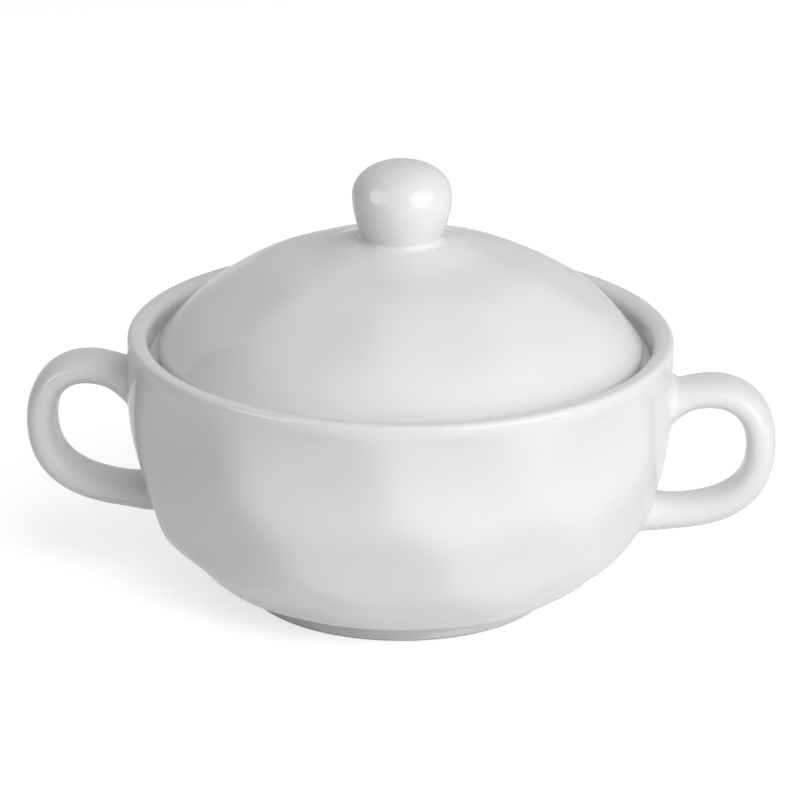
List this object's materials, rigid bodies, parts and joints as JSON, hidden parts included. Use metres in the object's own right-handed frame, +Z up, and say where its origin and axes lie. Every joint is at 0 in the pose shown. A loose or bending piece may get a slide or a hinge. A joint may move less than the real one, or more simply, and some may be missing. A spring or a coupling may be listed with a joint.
{
  "type": "lidded egg bowl",
  "caption": "Round white glazed bowl with hammered flats, loop handles, a foot ring and a domed lift-off lid with a round knob, for steaming egg custard or soup.",
  "frame": {"origin": "middle of the foot ring, on the surface that the bowl stands on", "axes": "+Z up through the knob, +X through the right handle, and the front faces -Y"},
  "size_m": [0.18, 0.13, 0.1068],
  "materials": {
    "glaze": "glossy white glaze over white pottery",
    "foot": "white glaze, wiped off at the edge that it stands on"
  },
  "bodies": {
    "bowl": {"bowl_body": "glaze", "foot_ring": "foot", "left_handle": "glaze", "right_handle": "glaze"},
    "lid": {"lid_dome": "glaze", "lid_knob": "glaze"}
  },
  "joints": [
    {"name": "lid_lift", "type": "slide", "parent": "bowl", "child": "lid", "axis": [0, 0, 1], "range_m": [0, 0.12]}
  ]
}
